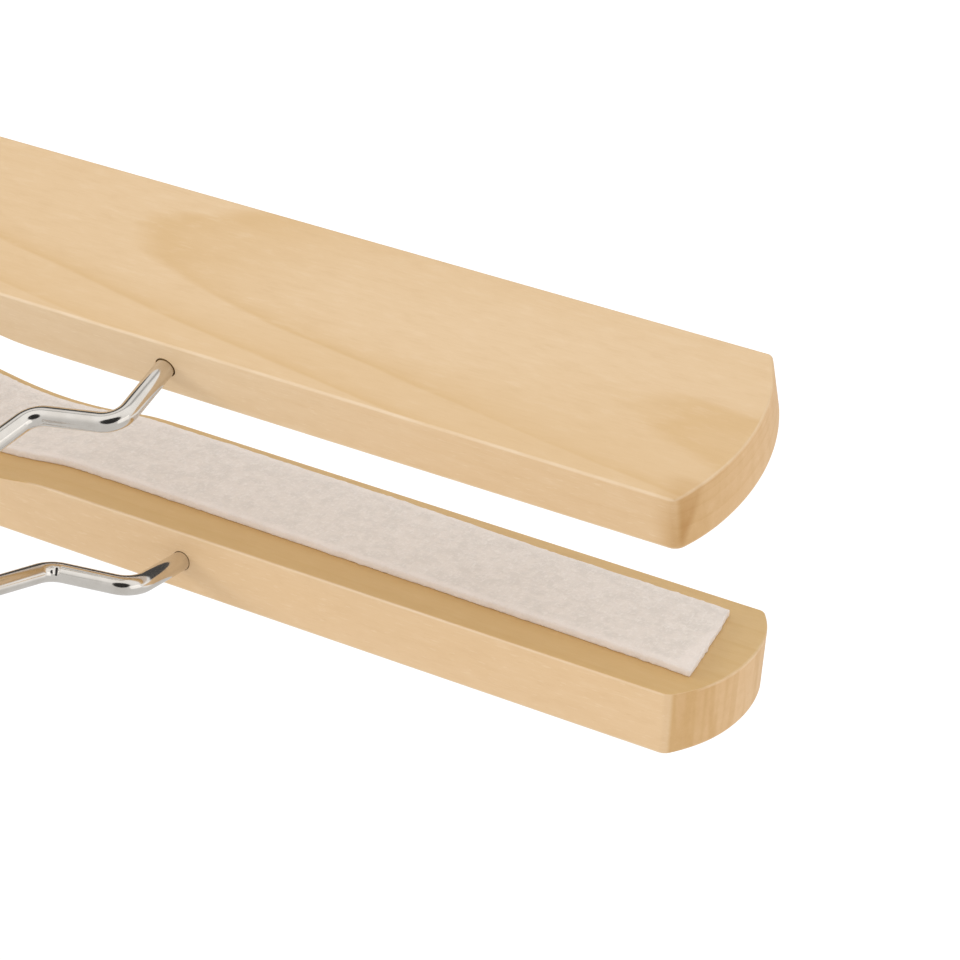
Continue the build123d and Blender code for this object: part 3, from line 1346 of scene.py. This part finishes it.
@dataclass
class SwivelHook(SubAssembly):
    """The hook with its collar and closed head, and the washers above and below the yoke."""

    hinges: Hinges
    plate: bpy.types.Material
    washer_plate: bpy.types.Material
    yoke_rise: float = 8.5 * MM
    yoke_sheet: float = 1.2 * MM
    wire_radius: float = 2.0 * MM
    bow_radius: float = 21.0 * MM
    neck_bend: float = 10.0 * MM
    tip_dip: float = 10.0
    tip_round: float = 0.96  # a share of the wire's radius
    play: float = 0.08 * MM
    collar_radius: float = 3.2 * MM
    collar_height: float = 1.6 * MM
    collar_round: float = 0.45 * MM
    head_radius: float = 3.3 * MM
    head_height: float = 1.8 * MM
    head_round: float = 1.1 * MM
    washer_radius: float = 4.6 * MM
    washer_thickness: float = 0.9 * MM
    washer_clearance: float = 0.15 * MM
    washer_break: float = 0.2 * MM

    @property
    def yoke_top(self) -> float:
        """The height of the yoke's top."""
        return self.hinges.pivot_z + self.yoke_rise

    def build(self) -> None:
        """Builds the hook and its two washers."""
        place = Matrix.Identity(4)
        self.hand_over(self.hook(), place, self.plate, "hook", "hook", "bright_wire")
        above = self.yoke_top + self.play
        below = self.yoke_top - self.yoke_sheet - self.play - self.washer_thickness
        for node, foot in (("neck_washer", above), ("retaining_washer", below)):
            washer = self.washer(f"hook_{node}", foot)
            self.hand_over(washer, place, self.washer_plate, "hook", node, "bright_washer")

    def hook(self) -> bpy.types.Object:
        """The bow, the neck, the collar, the shank and its closed head, all of one wire.

        Returns:
            The hook.
        """
        bow = self.bow_radius + self.wire_radius
        centre = Vector((0, 0, -self.bow_radius))
        sweep = math.degrees(math.acos(self.neck_bend / (bow + self.neck_bend)))
        tip = math.radians(180 + self.tip_dip)
        out = Vector((math.cos(tip), 0, math.sin(tip)))
        along = Vector((out.z, 0, -out.x))
        start = centre + out * bow - along * self.wire_radius
        neck_z = centre.z - (bow + self.neck_bend) * math.sin(math.radians(sweep))
        bender = WireBender("hook_wire", self.wire_radius)
        bender.start(start, along)
        bender.run(self.wire_radius)
        bender.bend(centre, Vector((0, 1, 0)), 180 + self.tip_dip + sweep)
        bender.bend(Vector((self.neck_bend, 0, neck_z)), Vector((0, -1, 0)), sweep)
        collar_foot = self.yoke_top + self.play + self.washer_thickness
        head_top = self.yoke_top - self.yoke_sheet - self.play - self.washer_thickness
        bender.run(bender.at.z - collar_foot - self.collar_height)
        bender.flare(self.collar_radius)
        bender.run(self.collar_height)
        bender.flare(self.wire_radius)
        bender.run(bender.at.z - head_top)
        bender.flare(self.head_radius)
        bender.run(self.head_height)
        bender.radius = self.wire_radius
        hook = bender.finish([start], self.wire_radius * self.tip_round)
        with editing(hook):
            for height, radius, rim in (
                (collar_foot, self.collar_radius, self.collar_round),
                (collar_foot + self.collar_height, self.collar_radius, self.collar_round),
                (head_top, self.head_radius, self.washer_break),
                (head_top - self.head_height, self.head_radius, self.head_round),
            ):
                round_edges(
                    lambda e: all(
                        abs(v.co.z - height) < 0.01 * MM and v.co.xy.length > radius * 0.98
                        for v in e.verts
                    ),
                    rim, segments=6,
                )
        close_up(hook, smooth_angle=40)
        return hook

    def washer(self, name: str, foot: float) -> bpy.types.Object:
        """A flat washer with broken edges.

        Args:
            name: The piece's name.
            foot: The height of its lower face.

        Returns:
            The washer.
        """
        bore = self.wire_radius + self.washer_clearance
        width = self.washer_radius - bore
        washer = start_piece(name, bpy.ops.mesh.primitive_plane_add, size=1.0, rotation=UPRIGHT)
        washer.scale = (width, 1.0, self.washer_thickness)
        washer.location = (bore + width / 2, 0, foot + self.washer_thickness / 2)
        settle(washer)
        with editing(washer):
            pick_all()
            bpy.ops.mesh.delete(type="ONLY_FACE")
            bpy.ops.mesh.select_mode(type="EDGE")
            pick_all()
            full = {"angle": 2 * math.pi, "center": (0, 0, 0), "axis": (0, 0, 1)}
            bpy.ops.mesh.spin(steps=72, use_auto_merge=True, **full)
        close_up(washer, smooth_angle=35)
        break_edges(washer, self.washer_break, 50)
        close_up(washer, smooth_angle=35)
        return washer


# The studio


@dataclass(frozen=True)
class Softbox:
    """A soft rectangular light."""

    name: str
    toward: Triple
    distance: float
    width: float
    height: float
    watts: float


@dataclass(frozen=True)
class TentPart:
    """A darker part of the tent: how dark it is, and the smooth steps that bound it.

    A step goes from 0 to 1 between two angles, in degrees from the front and up over the roof.
    """

    shade: float
    steps: tuple[tuple[float, float], ...]


@dataclass(frozen=True)
class Studio:
    """A pale floor, a white tent of soft light and the camera at the photograph's viewing angle.

    What shines sees the tent's parts: bright cloth in front and overhead, a seam between its two
    roof panels, the dark room past its open back, and the dark opening that the lens looks through.
    """

    floor_drop: float = 1.4
    floor_size: float = 40.0
    floor_colour: Colour = (0.93, 0.93, 0.93, 1.0)
    floor_glow: float = 0.2
    ambient: float = 0.905
    cloth: float = 1.05
    darkest: float = 0.97
    aim: Triple = (0.0, 0.0, -0.16)
    stands_at: Triple = (0.31627, 0.30253, 0.21060)
    azimuth: float = 144.1877
    elevation: float = 45.4509
    roll: float = -135.397
    lens: float = 117.87
    tent_up: Triple = (0.0, 0.984, -0.177)
    seam: TentPart = TentPart(0.6, ((92, 95), (103, 100)))
    back_roof: TentPart = TentPart(0.15, ((100, 104), (130, 122)))
    open_back: TentPart = TentPart(0.97, ((122, 130), (180, 176)))
    skirt: TentPart = TentPart(0.35, ((60, -10),))
    lens_opening: float = 28.5
    softboxes: tuple[Softbox, ...] = (
        Softbox("key_light", (-0.83, 0.42, 0.42), 1.6, 0.5, 0.5, 6.5),
        Softbox("side_light", (0.9, 0.1, 0.3), 1.6, 1.0, 1.0, 1.5),
    )

    @property
    def backwards(self) -> Vector:
        """The direction from the object to the camera.

        Returns:
            The direction.
        """
        round_by, above = math.radians(self.azimuth), math.radians(self.elevation)
        flat = math.cos(above)
        return Vector((math.sin(round_by) * flat, -math.cos(round_by) * flat, math.sin(above)))

    def build(self) -> None:
        """Sets up the floor, the light and the camera."""
        self.floor()
        self.tent()
        for softbox in self.softboxes:
            self.light(softbox)
        self.camera()
        bpy.context.scene.view_settings.view_transform = "Standard"

    def floor(self) -> None:
        """Lays the floor, as far below as under a wardrobe's rail."""
        floor = start_piece(
            "floor", bpy.ops.mesh.primitive_plane_add, size=self.floor_size,
            location=(0, 0, -self.floor_drop),
        )
        finish = {"Base Color": self.floor_colour, "Roughness": 0.9, "Emission Color": WHITE,
                  "Emission Strength": self.floor_glow}
        floor.data.materials.append(ShaderTree.material("pale_floor").finish(finish))
        floor.visible_glossy = False

    def tent(self) -> None:
        """Fills the room with even white light, and gives bright metal the tent to mirror."""
        world = bpy.data.worlds.new("white_tent")
        bpy.context.scene.world = world
        tree = ShaderTree(world)
        toward = tree.node("ShaderNodeTexCoord", {}, {}, "Generated")
        up, lens = Vector(self.tent_up), self.backwards
        front = (lens - up * lens.dot(up)).normalized()
        lift, ahead = tree.dot(toward, up), tree.dot(toward, front)
        angle = lift.angle_from(ahead) * math.degrees(1)
        shade: Operand = 0.0
        for part in (self.seam, self.back_roof, self.open_back, self.skirt):
            shade = math.prod(angle.rise(*step) for step in part.steps) * part.shade + shade
        square_on = (lift * lift + ahead * ahead).rise(0.04, 0.3)
        rim = math.radians(self.lens_opening)
        opening = tree.dot(toward, lens).rise(math.cos(rim), math.cos(rim * 0.85))
        mirrored = self.cloth - square_on * shade.smaller(self.darkest)
        mirrored = mirrored * (1.0 - opening * self.darkest)
        rays = tree.node("ShaderNodeLightPath", {}, {}).socket.node.outputs
        seen, shine = (Value(tree, rays[f"Is {kind} Ray"]) for kind in ("Camera", "Glossy"))
        strength = self.ambient + seen * (self.cloth - self.ambient)
        strength = strength + shine * (mirrored - self.ambient)
        light = tree.node("ShaderNodeBackground", {}, {"Color": WHITE, "Strength": strength})
        tree.node("ShaderNodeOutputWorld", {}, {"Surface": light})

    def light(self, softbox: Softbox) -> None:
        """Hangs one softbox and points it at the jaws.

        Args:
            softbox: The light.
        """
        data = bpy.data.lights.new(softbox.name, "AREA")
        data.shape = "RECTANGLE"
        data.size, data.size_y = softbox.width, softbox.height
        data.energy = softbox.watts
        lamp = bpy.data.objects.new(softbox.name, data)
        bpy.context.scene.collection.objects.link(lamp)
        toward = Vector(softbox.toward).normalized()
        lamp.location = Vector(self.aim) + toward * softbox.distance
        lamp.rotation_euler = toward.to_track_quat("Z", "Y").to_euler()

    def camera(self) -> None:
        """Sets up the camera."""
        data = bpy.data.cameras.new("portrait_camera")
        data.lens = self.lens
        data.clip_start, data.clip_end = 0.01, 100.0
        camera = bpy.data.objects.new("portrait_camera", data)
        bpy.context.scene.collection.objects.link(camera)
        back = self.backwards
        level = Vector((0, 0, 1)).cross(back).normalized()
        upright = Matrix((level, back.cross(level), back)).transposed()
        turned = upright @ Matrix.Rotation(math.radians(self.roll), 3, "Z")
        camera.matrix_world = Matrix.Translation(self.stands_at) @ turned.to_4x4()
        bpy.context.scene.camera = camera


def main() -> None:
    """Builds the hanger and its studio in order, and reports every piece."""
    logging.basicConfig(level=logging.INFO, format="%(name)s: %(message)s")
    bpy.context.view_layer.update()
    hinges = Hinges.from_joints(frame["joints"])
    wire = BrightPlate("bright_nickel_wire").material()
    sheet = BrightPlate("bright_nickel_sheet", polish=0.12, wear=0.12).material()
    dull = srgb(216, 211, 204)
    washer = BrightPlate("bright_nickel_washer", metal=dull, polish=0.18, wear=0.12).material()
    size = BarSize()
    rear_birch = Birch("rear_birch", size, brown_corner=True)
    front_birch = Birch(
        "front_birch", size, pith_depth=20.0, pith_height=70.0, lean=0.01, tilt=-0.02, bow=0.0,
        squint=1.0, ring_count=14.0, ring_from=60.0, ring_spread=40.0, ring_shade=0.4,
        end_bands=0.5, edge_from=-200.0, seed=31.0,
    )
    Clamp(
        Side.REAR, hinges, rear_birch, wire, size, corner_rounds=(2.2, 1.1, 1.6, 1.4),
        sanded=(SandedCorner(1, False, 0.3, 0.0, 9), SandedCorner(1, True, 0.0, 0.75, 16),
                SandedCorner(-1, False, 0.5, 0.3, 10)),
    ).build()
    Clamp(
        Side.FRONT, hinges, front_birch, wire, size, corner_rounds=(1.4, 1.6, 1.3, 1.9),
        sanded=(SandedCorner(-1, False, 1.25, 0.7, 14), SandedCorner(-1, True, 0.7, 0.5, 10),
                SandedCorner(1, True, 0.3, 0.6, 12)),
        tool_mark=ToolMark(on_axis=(-36.4, 0.0, -56.5), outwards=(-0.41, -0.395, 0.822)),
        bore_gap=0.07 * MM,
    ).build()
    HingeYoke(hinges, sheet).build()
    LockRing(hinges, wire).build()
    SwivelHook(hinges, wire, washer).build()
    Studio().build()


if __name__ == "__main__":
    main()
